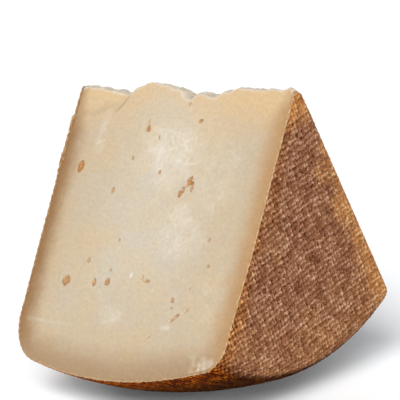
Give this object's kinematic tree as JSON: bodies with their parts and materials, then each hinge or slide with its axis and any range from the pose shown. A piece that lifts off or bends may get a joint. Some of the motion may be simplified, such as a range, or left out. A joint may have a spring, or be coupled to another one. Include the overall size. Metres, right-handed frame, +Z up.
{
  "type": "goat tomme wedge",
  "caption": "Wedge of aged goat tomme standing on its rim, with a crumbled crest, small eyes in the pale cuts and a brown cloth-marked rind.",
  "frame": {"origin": "middle of the wedge's footprint on the surface that it stands on, under the rim", "axes": "+Z up, +X along the wheel's axis towards its less rounded flat face, -Y towards the cut with the larger eyes"},
  "size_m": [0.0894, 0.0995, 0.0985],
  "materials": {
    "paste": "ivory pressed paste, satin and faintly moist, warmer and darker towards the rind",
    "rind": "dry brown washed rind with a pressed-in cloth weave"
  },
  "bodies": {
    "root": {"tomme_wedge": "paste"}
  },
  "joints": []
}
